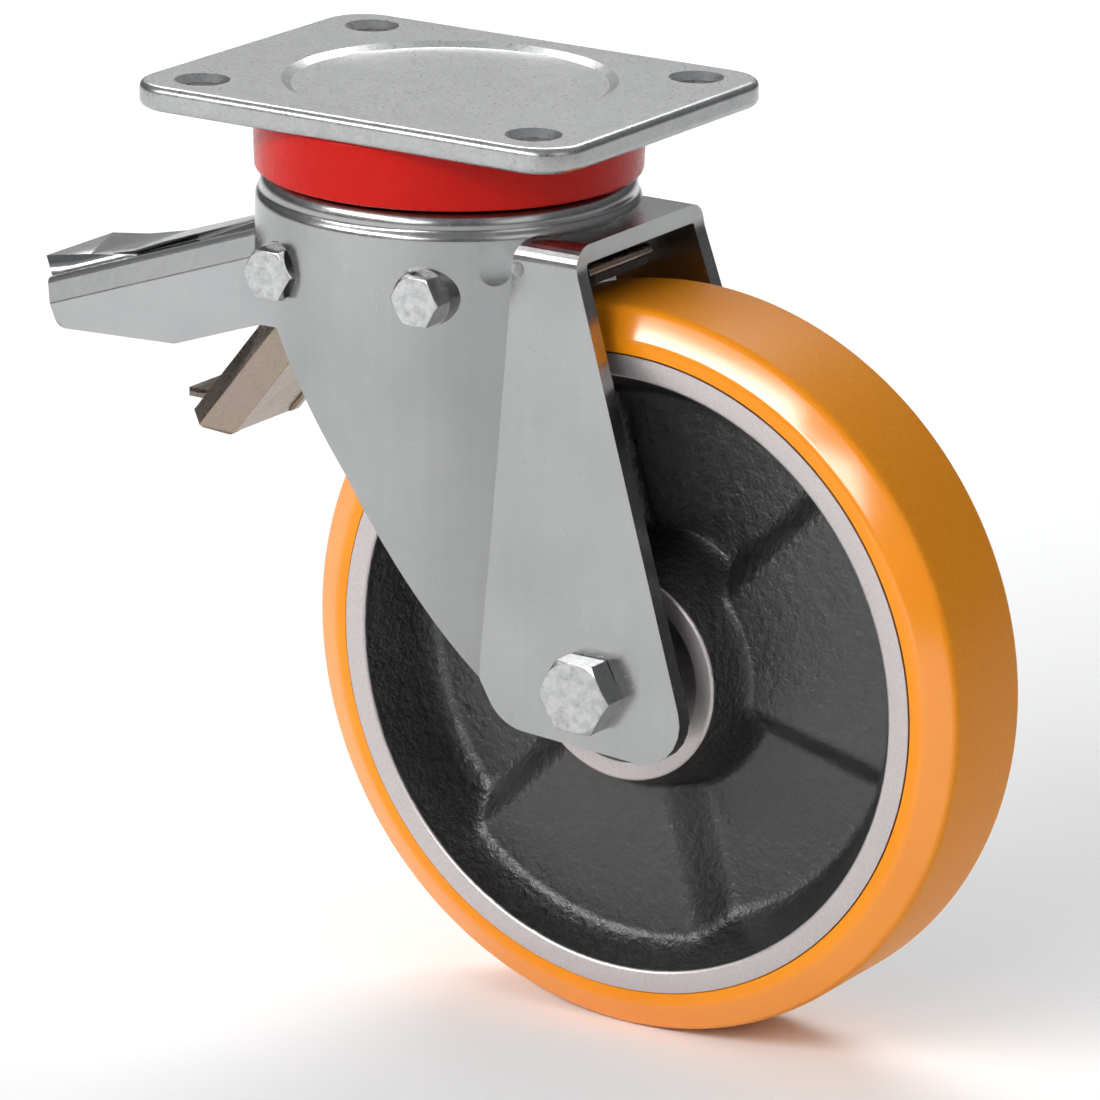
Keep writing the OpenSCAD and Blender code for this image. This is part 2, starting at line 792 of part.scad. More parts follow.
// Half section of the wheel casting: hub with bearing seats, full web and rim
module core_section() {
    seat = bearing_y - bearing_width / 2;
    web_in = hub_r + hub_draft;
    web_out = rim_inner - rim_draft;
    near = [
        [hub_shoulder, seat, 0], [bearing_r, seat, 0], [bearing_r, wheel_half, 0.6], [hub_r, wheel_half, 1],
        [web_in, web_depth, web_fillet], [web_out, web_depth, web_fillet],
        [rim_inner, wheel_half, 1], [rim_r, wheel_half, 0]
    ];
    far = [for (i = [len(near) - 1:-1:0]) [near[i].x, -near[i].y, near[i].z]];
    polygon(rounded(concat(near, far)));
}

// Half section of the pocket that sinks a web sector
module pocket_section() {
    low = web_overlap / 2;
    inner = hub_r + hub_draft + 1.5;
    outer = rim_inner - rim_draft - 1;
    polygon(rounded([
        [inner + 1, low, web_fillet / 2], [outer - 1, low, web_fillet / 2],
        [outer + 0.5, wheel_half + 1, 0], [inner - 0.5, wheel_half + 1, 0]
    ]));
}

// Sloped side of a pocket along the X axis, open towards +Y
module pocket_side() {
    foot = web_step / 2;
    lip = -web_step / 4;
    rotate([90, 0, 90])
        linear_extrude(height = wheel_r)
            polygon([
                [foot + 1, -web_depth], [foot, web_overlap], [lip + 1, web_depth - 1.4],
                [lip, web_depth - 0.3], [lip - 2, web_depth + 0.4], [lip - 2, wheel_half + 2],
                [wheel_r, wheel_half + 2], [wheel_r, -web_depth]
            ]);
}

// Pocket over the sector from the X axis round to the next step
module web_pocket() {
    intersection() {
        rotate_extrude($fn = 144) pocket_section();
        pocket_side();
        rotate([0, 0, sector_angle]) mirror([0, 1, 0]) pocket_side();
    }
}

// Cast wheel: rim, hub with two bearing seats, and a web whose sectors step from side to side
module wheel_core() {
    color("#2b2c2e")
        translate([trail, 0, axle_z]) along_y()
            difference() {
                rotate_extrude($fn = 144) core_section();
                for (i = [0:web_sectors - 1])
                    rotate([0, 0, web_turn + i * sector_angle])
                        if (i % 2 == 0) web_pocket();
                        else rotate([0, 0, sector_angle]) rotate([180, 0, 0]) web_pocket();
            }
}

// Polyurethane tyre cast on the rim
module tyre() {
    side = wheel_half - tyre_inset;
    tread = tread_width / 2;
    edge_r = wheel_r - shoulder_height;
    color("#f39a1e")
        translate([trail, 0, axle_z]) along_y()
            rotate_extrude($fn = 144)
                polygon(rounded([
                    [rim_r, -side, 0], [edge_r, -side + 0.4, 5],
                    [wheel_r, -tread, shoulder_radius], [wheel_r, tread, shoulder_radius],
                    [edge_r, side - 0.4, 5], [rim_r, side, 0]
                ]));
}

// Channel section of a pedal or lever: top, slanted shoulders and straight sides
module channel_section(half, depth, shoulder) {
    t = lever_sheet;
    lean = shoulder_lean;
    outer = [[-half, -depth, 0], [-half, -shoulder, 2.5], [-half + lean, 0, 2.5],
        [half - lean, 0, 2.5], [half, -shoulder, 2.5], [half, -depth, 0]];
    inner = [[half - t, -depth, 0], [half - t, -shoulder - t / 4, 1], [half - t - lean * 0.8, -t, 1],
        [-half + t + lean * 0.8, -t, 1], [-half + t, -shoulder - t / 4, 1], [-half + t, -depth, 0]];
    polygon(rounded(concat(outer, inner)));
}

// Channel along X from x = -length to x = reach, its top at z = 0
module channel(half, depth, shoulder, length, reach) {
    translate([-length, 0, 0])
        rotate([90, 0, 90])
            linear_extrude(height = length + reach) channel_section(half, depth, shoulder);
}

// Side view of the pedal in its own frame
module pedal_outline() {
    eye = pedal_eye_d / 2;
    nose = link_d / 2 + link_wall;
    polygon(rounded([
        [-pedal_length, pedal_top, 0], [eye, pedal_top, eye * 0.9],
        [link_in_pedal.x + nose, link_in_pedal.y + nose * 0.6, nose * 0.8],
        [link_in_pedal.x + nose * 0.7, link_in_pedal.y - nose, nose * 0.7],
        [link_in_pedal.x - nose * 1.2, link_in_pedal.y - nose * 0.9, nose * 0.5],
        [-pedal_belly / 2, -pedal_side, 12], [-pedal_belly, -pedal_side, 6],
        [-pedal_length + 1, -pedal_tip, 4]
    ]));
}

// Rib along the pedal's top that widens and rises into a tread, shrunk all round by an inset
module pedal_tread(inset) {
    top = pedal_top - inset;
    foot = inset > 0 ? pedal_top - 2 * lever_sheet : pedal_top - lever_sheet / 2;
    bend = -pedal_length + tongue_length;
    front = -pedal_eye_d;
    end = -pedal_length - inset;
    side = rib_width / 2 - inset;
    tip = tongue_width / 2 - inset;
    intersection() {
        translate([0, 0, foot - 1])
            linear_extrude(height = pedal_length)
                polygon([
                    [front + 1, -side], [front + 1, side], [bend + slot_length, side], [end, tip],
                    [end, -tip], [bend + slot_length, -side]
                ]);
        side_cut(-pedal_half, pedal_half)
            polygon([
                [front - inset, foot], [front - inset, top], [front - rib_rise - inset, top + rib_rise],
                [bend, top + rib_rise],
                [bend - tongue_length / 2, top + (tongue_rise + rib_rise) / 2 - 0.6],
                [end, top + tongue_rise], [end, foot]
            ]);
    }
}

// Slots that open the rib's sides in front of the tread
module tread_slots() {
    bend = -pedal_length + tongue_length;
    both_sides()
        side_cut(-pedal_half, -rib_width / 2 + lever_sheet + 1)
            polygon([
                [bend, pedal_top], [bend + slot_length, pedal_top],
                [bend + slot_length, pedal_top + rib_rise * 0.8], [bend, pedal_top + rib_rise * 0.35]
            ]);
}

// Brake pedal: channel with a raised tread, an eye on the rear pivot and a nose for the link pin
module brake_pedal() {
    color("#b4b7bb")
        translate([-pivot_reach, 0, pivot_z]) rotate([0, -pedal_slope, 0])
            difference() {
                union() {
                    difference() {
                        intersection() {
                            translate([0, 0, pedal_top])
                                channel(
                                    pedal_half, pedal_top + link_drop, pedal_shoulder, pedal_length, head_r
                                );
                            side_cut(-pedal_half, pedal_half) pedal_outline();
                        }
                        translate([-pedal_eye_d / 2 - 1, -pedal_half + lever_sheet, -link_drop])
                            cube([head_r, pedal_width - 2 * lever_sheet, 2 * link_drop]);
                    }
                    pedal_tread(0);
                }
                pedal_tread(lever_sheet);
                tread_slots();
                along_y() translate([0, 0, -pedal_width])
                    cylinder(d = sleeve_d + 2 * bolt_play, h = 2 * pedal_width);
                translate([link_in_pedal.x, 0, link_in_pedal.y])
                    along_y() translate([0, 0, -pedal_width]) cylinder(d = link_d, h = 2 * pedal_width);
            }
}

// Pin riveted across the pedal's nose
module link_pin() {
    color("#8f9296")
        translate([link_x, pedal_half, link_z]) along_y() cylinder(d = link_d, h = pedal_width);
}

// Side view of the whole lever
module lever_outline() {
    eye = lever_eye_d / 2;
    top_rounds = [0, 4, 5, 5, 4];
    top = [for (i = [0:len(lever_top) - 1]) [lever_top[i].x, lever_top[i].y, top_rounds[i]]];
    belly = tail_point(-tail_depth / 4, -tail_depth);
    heel = tail_point(-tail_length + 6, -tail_depth);
    tip = tail_point(-tail_length, -tail_shoulder - 1);
    polygon(rounded(concat(top, [
        [pivot_reach - eye, pivot_z + eye, eye * 0.9], [pivot_reach + eye, pivot_z + eye, eye * 0.6],
        [pivot_reach + eye + 4, arm_top, 3], [pad_front, arm_top, 2],
        [pad_front, pivot_z - eye, 0], [pivot_reach, pivot_z - eye - 3, 6],
        [link_x + 16, link_z - link_d / 2, 8], [link_x + 6, link_z - link_d, 6],
        [link_x - 8, link_z - link_d - 1, 6],
        [belly.x, belly.y, 4], [heel.x, heel.y, 3], [tip.x, tip.y, 2]
    ])));
}

// Band along the lever's top, a plate over the brake pad and one that closes the tail below
module lever_webs() {
    last = len(lever_top) - 1;
    polygon([
        for (i = [0:last]) lowered(lever_top, i, -3),
        for (i = [last:-1:0]) lowered(lever_top, i, lever_sheet)
    ]);
    translate([pad_front - pad_length, arm_top - lever_sheet]) square([pad_length + 1, lever_sheet + 1]);
    polygon([
        for (x = [-tail_length + 5, -tail_depth / 2]) tail_point(x, 1 - tail_depth),
        for (x = [-tail_depth / 2, -tail_length + 5]) tail_point(x, 1 + lever_sheet - tail_depth)
    ]);
}

// Slanted shoulders of the lever's tail: what is cut off, and what thickens the corner inside
module tail_bevel(inside) {
    top = [lever_half - shoulder_lean, 0];
    low = [lever_half, -tail_shoulder];
    run = (low - top) / norm(low - top);
    inward = lever_sheet * [run.y, -run.x];
    length = inside ? tail_length : tail_length + tail_shoulder + 2;
    translate([tail_root.x, 0, tail_root.y]) rotate([0, -tail_slope, 0])
        translate([inside ? -tail_length + 1 : -tail_length - 1, 0, 0])
            rotate([90, 0, 90])
                linear_extrude(height = inside ? length - lever_sheet : length)
                    if (inside)
                        polygon([top + inward, [lever_half - lever_sheet, -lever_sheet / 2],
                            [lever_half - lever_sheet / 2, -tail_shoulder], low + inward]);
                    else
                        polygon([top - 2 * run, low + 2 * run, low + [4, 4], top + [0, 4]]);
}

// Room for the tyre under the lever when it is locked
module tyre_room(gap) {
    translate([pivot_reach, 0, pivot_z]) rotate([0, -lever_travel, 0])
        translate([trail - pivot_reach, 0, axle_z - pivot_z]) along_y()
            translate([0, 0, -wheel_width]) cylinder(r = wheel_r + gap, h = 2 * wheel_width, $fn = 144);
}

// Release lever: channel tail with a foot tongue, slotted arm and front arm for the brake pad
module release_lever() {
    foot_root = tail_point(-tail_length + foot_rise, 0);
    color("#b3a06c")
        difference() {
            union() {
                difference() {
                    union() {
                        both_sides() side_cut(-lever_half, -lever_half + lever_sheet) lever_outline();
                        intersection() {
                            side_cut(-lever_half + lever_sheet / 2, lever_half - lever_sheet / 2)
                                lever_outline();
                            side_cut(-lever_half, lever_half) lever_webs();
                        }
                        both_sides() tail_bevel(true);
                    }
                    both_sides() tail_bevel(false);
                }
                translate([foot_root.x - foot_length, -foot_width / 2, foot_root.y - lever_sheet])
                    cube([foot_length + lever_sheet * 0.4, foot_width, lever_sheet]);
            }
            translate([pivot_reach, 0, pivot_z]) along_y()
                translate([0, 0, -lever_width]) cylinder(d = sleeve_d + 2 * bolt_play, h = 2 * lever_width);
            link_slot();
            tyre_room(3);
        }
}

// Slots in the lever's sides for the link pin
module link_slot() {
    r = link_d / 2 + link_play;
    start = [link_x, link_z];
    run = slot_end - start;
    for (p = [start, slot_end])
        translate([p.x, 0, p.y]) along_y()
            translate([0, 0, -lever_width]) cylinder(r = r, h = 2 * lever_width);
    translate([start.x, -lever_width, start.y]) rotate([0, -atan2(run.y, run.x), 0])
        translate([0, 0, -r]) cube([norm(run), 2 * lever_width, 2 * r]);
}

// Brake pad under the lever's front arm, hollowed to the tyre
module brake_pad() {
    half = lever_half - lever_sheet;
    color("#3a3a3a")
        difference() {
            translate([pad_front - pad_length + 1, -half, pivot_z - lever_eye_d])
                cube([pad_length - 1, 2 * half, arm_top - lever_sheet - pivot_z + lever_eye_d]);
            tyre_room(pad_gap);
        }
}

// Bolts of the two pivots, heads on the near side
module pivot_bolts() {
    color("#c9ccd0")
        at_pivots() translate([0, 0, pad_plane])
            hex_bolt(pivot_d, pivot_af, pivot_head, 2 * pad_plane + pivot_nut_height + thread_end);
}

// Nuts of the two pivots
module pivot_nuts() {
    color("#c9ccd0")
        at_pivots() translate([0, 0, -pad_plane - pivot_nut_height])
            hex_nut(pivot_d, pivot_af, pivot_nut_height);
}

// Sleeves clamped between the fork's pads, on which pedal and lever turn
module pivot_sleeves() {
    color("#7d8085")
        at_pivots() translate([0, 0, -pad_inner])
            ring(pivot_d / 2 + bolt_play, sleeve_d / 2, 2 * pad_inner);
}

top_plate();
king_pin();
king_nut();
upper_race();
upper_balls();
head_race();
lower_head_race();
lower_balls();
lower_race();
dust_seal();
fork();
axle_bolt();
axle_nut();
axle_tube();
axle_spacers();
distance_tube();
bearing_inner_rings();
bearing_outer_rings();
bearing_balls();
bearing_shields();
wheel_core();
tyre();
brake_pedal();
link_pin();
release_lever();
brake_pad();
pivot_bolts();
pivot_nuts();
pivot_sleeves();
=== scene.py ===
import math

import bmesh
import bpy
from mathutils import Matrix, Vector


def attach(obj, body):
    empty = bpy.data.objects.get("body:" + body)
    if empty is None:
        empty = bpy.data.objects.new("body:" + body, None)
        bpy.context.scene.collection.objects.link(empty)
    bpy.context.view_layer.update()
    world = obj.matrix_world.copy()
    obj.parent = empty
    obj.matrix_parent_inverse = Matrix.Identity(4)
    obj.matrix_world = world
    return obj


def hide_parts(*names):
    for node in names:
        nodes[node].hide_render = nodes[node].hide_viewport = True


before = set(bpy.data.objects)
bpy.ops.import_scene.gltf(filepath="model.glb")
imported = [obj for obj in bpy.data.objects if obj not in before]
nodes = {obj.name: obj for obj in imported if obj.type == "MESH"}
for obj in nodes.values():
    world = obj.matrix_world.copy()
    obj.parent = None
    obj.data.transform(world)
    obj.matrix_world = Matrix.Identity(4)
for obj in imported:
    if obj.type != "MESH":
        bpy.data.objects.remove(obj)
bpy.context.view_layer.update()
MM = 0.001

# Sizes of the wheel, as the solids have them, in millimetres
WHEEL_X = 70.0
WHEEL_Z = -148.5
WHEEL_R = 100.0
WHEEL_HALF = 21.6
RIM_R = 88.0
RIM_INNER = 82.0
HUB_R = 29.0
BEARING_R = 23.5
HUB_BORE = 19.7
BEARING_SEAT = 7.0

# Web: heights from the wheel's middle plane, turn of the first sector in degrees,
# and reach of the slope between two sectors into the sunk and into the raised one
WEB_RAISED = 10.0
WEB_SUNK = 0.75
WEB_TURN = 46.0
WEB_SECTORS = 6
WEB_FOOT = 7.5
WEB_LIP = 4.5

# Walls between web, rim and hub: drop below the turned faces, rise over radius, and width of the fillets
WALL_DROP = 0.9
CAST_DROP = 0.6
RIM_WALL_RISE = 2.35
HUB_WALL_RISE = 2.9
RIM_FILLET = 7.0
HUB_FILLET = 6.0

# Edges of the turned faces, as steps in radius and drops below the face
SEAT_EDGE = ((0.0, 0.5), (0.5, 0.0), (1.2, 0.0))
HUB_EDGE = ((-0.9, 0.0), (-0.25, 0.2), (0.05, CAST_DROP))
RIM_EDGE = ((-0.05, CAST_DROP), (0.25, 0.2), (0.9, 0.0))
TYRE_EDGE = ((-0.8, 0.0), (0.0, 0.05))

# Rows of the web, close together at hub and rim, and steps round the wheel and along a rounding
ROW_GAP = 0.25
FINE_STEP = 0.4
COARSE_STEP = 1.45
FINE_ROWS = 22
COARSE_ROWS = 24
CASTING_STEPS = 300
TYRE_STEPS = 288
ARC_STEPS = 6

# Section of the tyre
TYRE_DROP = 0.3
TREAD_HALF = 16.4
SHOULDER = 8.0
SIDE_LEAN = 0.4
SIDE_ROUND = 5.0
TREAD_ROUND = 3.0
GROOVE_DEEP = 0.7
GROOVE_WIDE = 0.45

# Borders between finishes, and at the tread also the border where the tread's painted shade begins: depth below
# the face or tread, and width of the change
CUT_DEPTH = 0.75
CUT_FADE = 0.4
TREAD_DEPTH = 1.0
TREAD_FADE = 1.0 / 1.4

# Sizes of the plate's recess and of the fork, as the solids have them
RECESS_R = 43.75
RECESS_REACH = 2.0
HEAD_TOP = -23.9
HEAD_R = 52.0
SHEET = 5.0
DOME_R = 50.8
DOME_ROUND = 4.2
WALL_END = 41.2
DENT_BALL = 8.0
DENTS = ((44.51, 39.85, -34.7), (42.82, 39.51, -38.8))
AXLE_PAD_R = 14.4
AXLE_PAD_Y = 37.5
LEG_Y = 31.35
LEG_TOP = -31.0
LEG_LEAN = 3.0

# Slack in finding those surfaces on the solids, in millimetres, and for dents as a share of the ball
ROUND_SLACK = 0.01
WALL_SLACK = 0.06
PAD_SLACK = 0.05
DENT_SLACK = 0.01
AXIS_CLEAR = 1.0
LEAST_LEAN = 1.0

# Limits on a face's direction, as shares of its unit normal
SLOPE_RISE = (0.5, 0.995)
UPRIGHT = 0.02
WALL_FACING = 0.95
DENT_FACING = 0.975

# Shading: weight of the plain wall in a dent, least area of a flat in square metres, and angles in degrees
DENT_SOFTNESS = 3.0
FLAT_AREA = 150e-6
STRAY_TURN = 18.0
BEND_ANGLE = 32.0
PLATE_ANGLE = 20.0
RING_ANGLE = 40.0
FLAT_WEIGHT = 60
WELD = 0.002
SLIVER = 0.001

# Camera fitted to the photograph: angles in degrees, places in metres, lens and sensor in millimetres
CAMERA_TURNS = (32.6, 17.237, 0.814)
CAMERA_DISTANCE = 1.85826
CAMERA_SIDE = 0.030009
CAMERA_RISE = 0.111369
CAMERA_DROP = 0.2483
CAMERA_LENS = 219.13
CAMERA_SENSOR = 36.0
CAMERA_CLIP = (0.05, 60.0)

# Studio, in metres
FLOOR_Z = -0.2486
FLOOR_REACH = 12.0
MIDDLE = (0.03, 0.0, -0.12)
BESIDE_PLATE = (-0.45, 0.75, -0.25)
SKY_LOW = (0.09, 0.092, 0.095, 1)
SKY_HIGH = (0.42, 0.43, 0.44, 1)
SKY_TOP = 0.9

# Places of the colour sockets among all those of a mix node
MIX_FAC, MIX_A, MIX_B, MIX_OUT = 0, 6, 7, 2


# Camera

def place_camera():
    """Camera at the photograph's angle, shifted in its own picture plane."""
    azimuth, elevation, roll = (math.radians(turn) for turn in CAMERA_TURNS)
    back = Vector((
        math.sin(azimuth) * math.cos(elevation),
        -math.cos(azimuth) * math.cos(elevation),
        math.sin(elevation),
    ))
    right = Vector((math.cos(azimuth), math.sin(azimuth), 0.0))
    up = back.cross(right)
    cam_right = right * math.cos(roll) + up * math.sin(roll)
    cam_up = up * math.cos(roll) - right * math.sin(roll)
    data = bpy.data.cameras.new("camera")
    data.sensor_width = CAMERA_SENSOR
    data.lens = CAMERA_LENS
    data.clip_start, data.clip_end = CAMERA_CLIP
    camera = bpy.data.objects.new("camera", data)
    camera.matrix_world = Matrix((cam_right, cam_up, back)).transposed().to_4x4()
    shift = cam_right * CAMERA_SIDE + cam_up * CAMERA_RISE
    camera.location = back * CAMERA_DISTANCE + shift - Vector((0, 0, CAMERA_DROP))
    bpy.context.scene.collection.objects.link(camera)
    bpy.context.scene.camera = camera


# Materials

class Shade:
    """One material, with short calls for the nodes that the materials here share."""

    def __init__(self, name, **constants):
        self.material = bpy.data.materials.new(name)
        self.material.use_nodes = True
        self.tree = self.material.node_tree
        self.bsdf = self.tree.nodes["Principled BSDF"]
        self.place = self.add("ShaderNodeTexCoord").outputs["Object"]
        for socket, value in constants.items():
            self.bsdf.inputs[socket.replace("_", " ")].default_value = value

    def add(self, kind, **settings):
        node = self.tree.nodes.new(kind)
        for key, value in settings.items():
            setattr(node, key, value)
        return node

    def join(self, source, target):
        self.tree.links.new(source, target)

    def feed(self, value, socket):
        """A socket joined to another one, or set to a number or a colour."""
        if isinstance(value, bpy.types.NodeSocket):
            self.join(value, socket)
        else:
            socket.default_value = (*value, 1) if isinstance(value, tuple) else value

    def noise(self, size_mm, detail=4.0, rough=0.55, stretch=(1, 1, 1)):
        """Noise whose blots are about size_mm across, drawn out along an axis by stretch."""
        mapping = self.add("ShaderNodeMapping")
        mapping.inputs["Scale"].default_value = stretch
        self.join(self.place, mapping.inputs["Vector"])
        noise = self.add("ShaderNodeTexNoise")
        noise.inputs["Scale"].default_value = 1.0 / (size_mm * MM)
        noise.inputs["Detail"].default_value = detail
        noise.inputs["Roughness"].default_value = rough
        self.join(mapping.outputs["Vector"], noise.inputs["Vector"])
        return noise.outputs["Fac"]

    def ramp(self, fac, *stops):
        """Colour ramp over fac, each stop a place and a colour or a grey."""
        node = self.add("ShaderNodeValToRGB")
        elements = node.color_ramp.elements
        while len(elements) < len(stops):
            elements.new(0.5)
        for element, (place, colour) in zip(elements, stops):
            grey = not isinstance(colour, tuple)
            element.position = place
            element.color = (colour, colour, colour, 1) if grey else (*colour, 1)
        self.join(fac, node.inputs["Fac"])
        return node.outputs["Color"]

    def swell(self, noise):
        """Noise drawn out to the full range from 0 to 1, as a height."""
        return self.ramp(noise, (0.2, 0.0), (0.8, 1.0))

    def mix(self, fac, a, b):
        """Two colours mixed; fac, a and b are sockets or values."""
        node = self.add("ShaderNodeMix", data_type="RGBA")
        for place, value in ((MIX_FAC, fac), (MIX_A, a), (MIX_B, b)):
            self.feed(value, node.inputs[place])
        return node.outputs[MIX_OUT]

    def math(self, operation, a, b=0.0, clamp=False):
        node = self.add("ShaderNodeMath", operation=operation, use_clamp=clamp)
        self.feed(a, node.inputs[0])
        self.feed(b, node.inputs[1])
        return node.outputs[0]

    def share(self, length, start_mm, width_mm):
        """How far a length has come past a start, over a width, from 0 to 1."""
        past = self.math("SUBTRACT", length, start_mm * MM)
        return self.math("MULTIPLY", past, 1.0 / (width_mm * MM), clamp=True)

    def axis(self, name):
        """One coordinate of the surface, in the part's frame, in metres."""
        node = self.add("ShaderNodeSeparateXYZ")
        self.join(self.place, node.inputs[0])
        return node.outputs[name]

    def colour(self, socket):
        self.join(socket, self.bsdf.inputs["Base Color"])

    def roughness(self, socket):
        self.join(socket, self.bsdf.inputs["Roughness"])

    def relief(self, height, depth_mm, edge_mm=0.0):
        """Bump of the given depth, over edges that the light sees as rounded by edge_mm."""
        bump = self.add("ShaderNodeBump")
        bump.inputs["Strength"].default_value = 1.0
        bump.inputs["Distance"].default_value = depth_mm * MM
        self.join(height, bump.inputs["Height"])
        if edge_mm:
            bevel = self.add("ShaderNodeBevel", samples=6)
            bevel.inputs["Radius"].default_value = edge_mm * MM
            self.join(bevel.outputs["Normal"], bump.inputs["Normal"])
        self.join(bump.outputs["Normal"], self.bsdf.inputs["Normal"])


def zinc_plate():
    """Thick zinc over hot-rolled steel: mottled, with a faintly pitted skin."""
    s = Shade("mottled_zinc", Metallic=1.0)
    blots = s.noise(6.0, 6.0, 0.66)
    grain = s.noise(1.1, 4.0, 0.65)
    broad = s.noise(38.0, 2.0)
    tone = s.ramp(
        blots, (0.30, (0.35, 0.353, 0.356)), (0.52, (0.43, 0.433, 0.436)), (0.70, (0.50, 0.503, 0.506)),
    )
    drift = s.ramp(broad, (0.3, (0.38, 0.383, 0.386)), (0.7, (0.48, 0.483, 0.486)))
    specks = s.ramp(grain, (0.3, (0.28, 0.283, 0.286)), (0.7, (0.56, 0.563, 0.566)))
    s.colour(s.mix(0.35, s.mix(0.3, tone, drift), specks))
    s.roughness(s.ramp(grain, (0.25, 0.24), (0.75, 0.38)))
    s.relief(s.mix(0.4, s.swell(blots), s.swell(grain)), 0.04)
    return s.material


def zinc_sheet(name, dark, light, rough):
    """Smooth zinc on drawn sheet: soft cloudy tone and faint drawing lines."""
    s = Shade(name, Metallic=1.0)
    clouds = s.noise(30.0, 3.0, 0.5)
    lines = s.noise(2.2, 3.0, 0.6, stretch=(1, 1, 0.04))
    mottle = s.noise(1.8, 4.0, 0.6)
    tone = s.ramp(clouds, (0.28, dark), (0.72, light))
    tone = s.mix(0.25, tone, s.ramp(lines, (0.3, dark), (0.7, light)))
    s.colour(s.mix(0.25, tone, s.ramp(mottle, (0.3, dark), (0.7, light))))
    s.roughness(s.ramp(mottle, (0.3, rough - 0.03), (0.7, rough + 0.04)))
    s.relief(s.swell(clouds), 0.06)
    return s.material


def bright_zinc():
    """Bright zinc of the bolts, with a dull spot here and there."""
    s = Shade("bright_zinc", Metallic=1.0)
    spots = s.noise(2.2, 5.0, 0.65)
    grain = s.noise(0.5, 3.0)
    s.colour(s.ramp(spots, (0.30, (0.36, 0.363, 0.366)), (0.62, (0.54, 0.543, 0.546))))
    s.roughness(s.ramp(spots, (0.3, 0.28), (0.7, 0.17)))
    s.relief(grain, 0.008, 0.45)
    return s.material


def bare_steel(name, dark, light):
    """Oiled bare steel of the inner pieces."""
    s = Shade(name, Metallic=1.0)
    patches = s.noise(4.0, 5.0, 0.6)
    s.colour(s.ramp(patches, (0.3, dark), (0.7, light)))
    s.roughness(s.ramp(s.noise(1.0, 3.0), (0.3, 0.28), (0.7, 0.44)))
    s.relief(patches, 0.03, 0.3)
    return s.material


def red_plastic():
    """Glossy moulded plastic with a faint orange-peel skin."""
    s = Shade("red_plastic", Specular_IOR_Level=0.15, IOR=1.5)
    drift = s.noise(30.0, 2.0)
    skin = s.noise(2.5, 2.0)
    s.colour(s.ramp(drift, (0.3, (0.44, 0.004, 0.001)), (0.7, (0.50, 0.007, 0.002))))
    s.roughness(s.ramp(skin, (0.3, 0.24), (0.7, 0.32)))
    s.relief(skin, 0.01)
    return s.material


def cast_iron():
    """Black paint over sand casting, with bare metal and fine turning grain on the faces that a lathe has cut."""
    s = Shade("cast_iron", Specular_IOR_Level=1.0)
    across = s.math("ABSOLUTE", s.axis("Y"))
    cut = s.share(across, WHEEL_HALF - CUT_DEPTH, CUT_FADE)
    sand = s.noise(2.2, 5.0, 0.6)
    lumps = s.noise(12.0, 3.0)
    grain = s.noise(0.9, 3.0)
    paint = s.ramp(sand, (0.3, (0.005, 0.005, 0.0048)), (0.7, (0.018, 0.0176, 0.0168)))
    bare = s.ramp(grain, (0.3, (0.50, 0.455, 0.455)), (0.7, (0.60, 0.55, 0.55)))
    s.colour(s.mix(cut, paint, bare))
    rough_paint = s.ramp(sand, (0.3, 0.26), (0.7, 0.44))
    s.roughness(s.mix(cut, rough_paint, s.ramp(grain, (0.3, 0.36), (0.7, 0.48))))
    s.join(s.math("MULTIPLY", cut, 0.8), s.bsdf.inputs["Metallic"])
    rough_skin = s.mix(0.4, s.swell(sand), s.swell(lumps))
    s.relief(s.mix(cut, rough_skin, s.ramp(grain, (0.0, 0.49), (1.0, 0.51))), 0.6)
    return s.material


def polyurethane():
    """Cast polyurethane: deep orange, a little translucent, satin sides, glossy shoulders, and a tread finished
    by grinding that is rougher than the sides and painted darker than them as painted shade.
    """
    s = Shade("polyurethane", IOR=1.5, Subsurface_Weight=0.12, Subsurface_Scale=0.004)
    s.bsdf.inputs["Subsurface Radius"].default_value = (1.0, 0.35, 0.05)
    x = s.math("SUBTRACT", s.axis("X"), WHEEL_X * MM)
    z = s.math("SUBTRACT", s.axis("Z"), WHEEL_Z * MM)
    radius = s.math("SQRT", s.math("ADD", s.math("MULTIPLY", x, x), s.math("MULTIPLY", z, z)))
    tread = s.share(radius, WHEEL_R - TREAD_DEPTH, TREAD_FADE)
    height = s.share(radius, RIM_R, WHEEL_R - RIM_R)
    drift = s.noise(60.0, 2.0)
    skin = s.noise(1.2, 4.0, 0.6)
    side = s.ramp(drift, (0.3, (0.79, 0.245, 0.005)), (0.7, (0.85, 0.28, 0.008)))
    # Tread colour: the rougher grinding finish, painted darker than the sides as painted shade
    ground_and_shade = s.ramp(skin, (0.3, (0.68, 0.225, 0.006)), (0.7, (0.76, 0.265, 0.008)))
    s.colour(s.mix(tread, side, ground_and_shade))
    gloss = s.ramp(height, (0.20, 0.3), (0.38, 1.0), (0.85, 1.0), (0.97, 0.15))
    s.join(gloss, s.bsdf.inputs["Specular IOR Level"])
    satin = s.ramp(skin, (0.3, 0.14), (0.7, 0.19))
    s.roughness(s.mix(tread, satin, s.ramp(skin, (0.3, 0.36), (0.7, 0.46))))
    s.relief(skin, 0.012)
    return s.material


def chromate():
    """Yellow chromate over zinc, drifting from straw to pink and green."""
    s = Shade("yellow_chromate", Metallic=1.0)
    drift = s.noise(16.0, 3.0, 0.5)
    fine = s.noise(1.5, 4.0, 0.6)
    film = s.ramp(
        drift, (0.28, (0.26, 0.21, 0.155)), (0.45, (0.32, 0.26, 0.205)),
        (0.60, (0.33, 0.255, 0.22)), (0.75, (0.29, 0.25, 0.19)),
    )
    s.colour(s.mix(0.15, film, s.ramp(fine, (0.3, (0.22, 0.18, 0.145)), (0.7, (0.39, 0.33, 0.27)))))
    s.roughness(s.ramp(fine, (0.3, 0.24), (0.7, 0.32)))
    s.relief(s.swell(drift), 0.03, 0.4)
    return s.material


